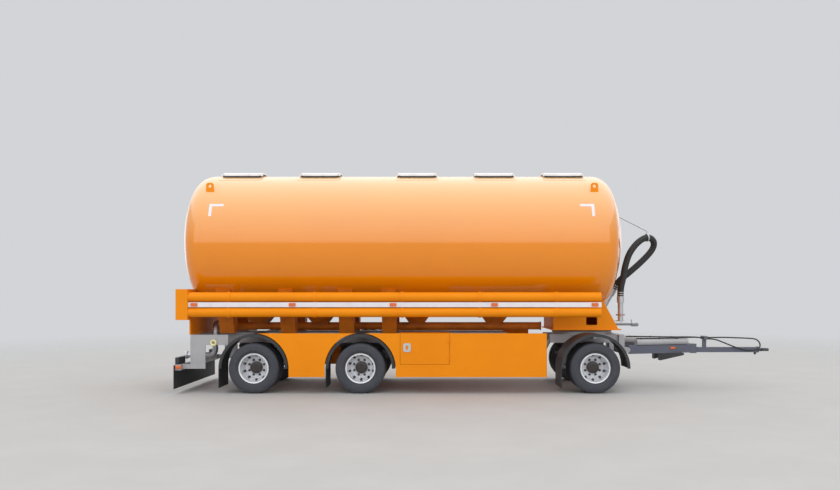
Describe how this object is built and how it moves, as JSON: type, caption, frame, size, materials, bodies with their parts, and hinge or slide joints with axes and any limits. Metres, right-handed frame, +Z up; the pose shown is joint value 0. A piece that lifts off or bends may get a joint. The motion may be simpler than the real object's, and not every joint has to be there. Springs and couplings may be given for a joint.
{
  "type": "feed tank trailer",
  "caption": "Orange drawbar feed tank trailer with a round tank, twin wheels, a steering front dolly on a turntable, roof hatches, side lockers and hose tubes",
  "frame": {"origin": "centre of the bounding box on the road surface under the wheels", "axes": "X forward to the drawbar eye, Y to the trailer's left, Z up"},
  "size_m": [10.87, 2.5528, 3.978],
  "materials": {
    "orange_paint": "glossy orange-yellow coach paint",
    "white_lid_paint": "weathered white lid paint",
    "grey_frame_paint": "satin light grey frame paint",
    "slate_paint": "satin slate grey chassis paint",
    "black_rubber": "matt black rubber",
    "black_plastic": "grained black plastic",
    "cast_steel": "dark bare cast steel",
    "galvanised_pipe": "galvanised pipe",
    "white_strip": "white contour strip",
    "amber_lens": "amber lamp lens",
    "red_lens": "red lamp lens",
    "stainless_latch": "pressed stainless latch",
    "tyre_rubber": "road-worn tyre rubber",
    "silver_wheel_paint": "silver painted steel wheel"
  },
  "bodies": {
    "chassis": {"air_springs": "black_rubber", "air_tanks": "slate_paint", "chassis_frame": "grey_frame_paint", "discharge_hoppers": "orange_paint", "discharge_pipe": "orange_paint", "front_pedestal": "orange_paint", "front_pipework": "galvanised_pipe", "hose_stay": "galvanised_pipe", "hose_tubes": "orange_paint", "locker_boxes": "orange_paint", "marker_strips": "white_strip", "mudguards": "black_plastic", "rear_axles": "slate_paint", "rear_bulkhead": "orange_paint", "rear_bumper": "grey_frame_paint", "rear_flap": "black_rubber", "rear_lamps": "red_lens", "rear_outlet": "galvanised_pipe", "side_markers": "amber_lens", "side_panels": "orange_paint", "suspension_arms": "slate_paint", "tank_barrel": "orange_paint", "tank_head_front": "orange_paint", "tank_head_rear": "orange_paint", "tank_saddles": "orange_paint", "transfer_hose": "black_rubber", "tube_brackets": "orange_paint", "turntable_race": "slate_paint"},
    "dolly": {"dolly_frame": "grey_frame_paint", "dolly_axle": "slate_paint", "dolly_arms": "slate_paint", "dolly_air_springs": "black_rubber", "dolly_mudguards": "black_plastic"},
    "drawbar": {"drawbar_frame": "slate_paint", "drawbar_eye": "cast_steel", "hose_post": "slate_paint", "drawbar_pipes": "grey_frame_paint", "wheel_chocks": "black_plastic", "drawbar_cable": "black_rubber"},
    "twin_wheel_rear_right": {"tyres_rear_right": "tyre_rubber", "wheel_rear_right": "silver_wheel_paint"},
    "twin_wheel_rear_left": {"tyres_rear_left": "tyre_rubber", "wheel_rear_left": "silver_wheel_paint"},
    "twin_wheel_middle_right": {"tyres_middle_right": "tyre_rubber", "wheel_middle_right": "silver_wheel_paint"},
    "twin_wheel_middle_left": {"tyres_middle_left": "tyre_rubber", "wheel_middle_left": "silver_wheel_paint"},
    "twin_wheel_front_right": {"tyres_front_right": "tyre_rubber", "wheel_front_right": "silver_wheel_paint"},
    "twin_wheel_front_left": {"tyres_front_left": "tyre_rubber", "wheel_front_left": "silver_wheel_paint"},
    "lid_1": {"hatch_lid_1": "white_lid_paint"},
    "lid_2": {"hatch_lid_2": "white_lid_paint"},
    "lid_3": {"hatch_lid_3": "white_lid_paint"},
    "lid_4": {"hatch_lid_4": "white_lid_paint"},
    "lid_5": {"hatch_lid_5": "white_lid_paint"},
    "door_right": {"locker_door_right": "orange_paint", "locker_latch_right": "stainless_latch"},
    "door_left": {"locker_door_left": "orange_paint", "locker_latch_left": "stainless_latch"}
  },
  "joints": [
    {"name": "turntable_steer", "type": "hinge", "parent": "chassis", "child": "dolly", "pos_m": [1.915, 0, 1.035], "axis": [0, 0, 1], "range_deg": [-90, 90]},
    {"name": "drawbar_pitch", "type": "hinge", "parent": "dolly", "child": "drawbar", "pos_m": [2.65, 0, 0.7], "axis": [0, -1, 0], "range_deg": [-10, 25]},
    {"name": "rear_wheel_right", "type": "hinge", "parent": "chassis", "child": "twin_wheel_rear_right", "pos_m": [-3.975, -0.955, 0.4335], "axis": [0, 1, 0], "continuous": true},
    {"name": "rear_wheel_left", "type": "hinge", "parent": "chassis", "child": "twin_wheel_rear_left", "pos_m": [-3.975, 0.955, 0.4335], "axis": [0, 1, 0], "continuous": true},
    {"name": "middle_wheel_right", "type": "hinge", "parent": "chassis", "child": "twin_wheel_middle_right", "pos_m": [-2.135, -0.955, 0.4335], "axis": [0, 1, 0], "continuous": true},
    {"name": "middle_wheel_left", "type": "hinge", "parent": "chassis", "child": "twin_wheel_middle_left", "pos_m": [-2.135, 0.955, 0.4335], "axis": [0, 1, 0], "continuous": true},
    {"name": "front_wheel_right", "type": "hinge", "parent": "dolly", "child": "twin_wheel_front_right", "pos_m": [1.915, -0.955, 0.4335], "axis": [0, 1, 0], "continuous": true},
    {"name": "front_wheel_left", "type": "hinge", "parent": "dolly", "child": "twin_wheel_front_left", "pos_m": [1.915, 0.955, 0.4335], "axis": [0, 1, 0], "continuous": true},
    {"name": "lid_1_hinge", "type": "hinge", "parent": "chassis", "child": "lid_1", "pos_m": [-4.375, 0.445, 3.8641], "axis": [-1, 0, 0], "range_deg": [0, 100]},
    {"name": "lid_2_hinge", "type": "hinge", "parent": "chassis", "child": "lid_2", "pos_m": [-2.95, 0.445, 3.8641], "axis": [-1, 0, 0], "range_deg": [0, 100]},
    {"name": "lid_3_hinge", "type": "hinge", "parent": "chassis", "child": "lid_3", "pos_m": [-1.175, 0.445, 3.8641], "axis": [-1, 0, 0], "range_deg": [0, 100]},
    {"name": "lid_4_hinge", "type": "hinge", "parent": "chassis", "child": "lid_4", "pos_m": [0.243, 0.445, 3.8641], "axis": [-1, 0, 0], "range_deg": [0, 100]},
    {"name": "lid_5_hinge", "type": "hinge", "parent": "chassis", "child": "lid_5", "pos_m": [1.508, 0.445, 3.8641], "axis": [-1, 0, 0], "range_deg": [0, 100]},
    {"name": "door_right_hinge", "type": "hinge", "parent": "chassis", "child": "door_right", "pos_m": [-0.6, -1.269, 0.76], "axis": [0, 0, 1], "range_deg": [0, 110]},
    {"name": "door_left_hinge", "type": "hinge", "parent": "chassis", "child": "door_left", "pos_m": [-0.6, 1.269, 0.76], "axis": [0, 0, -1], "range_deg": [0, 110]}
  ]
}
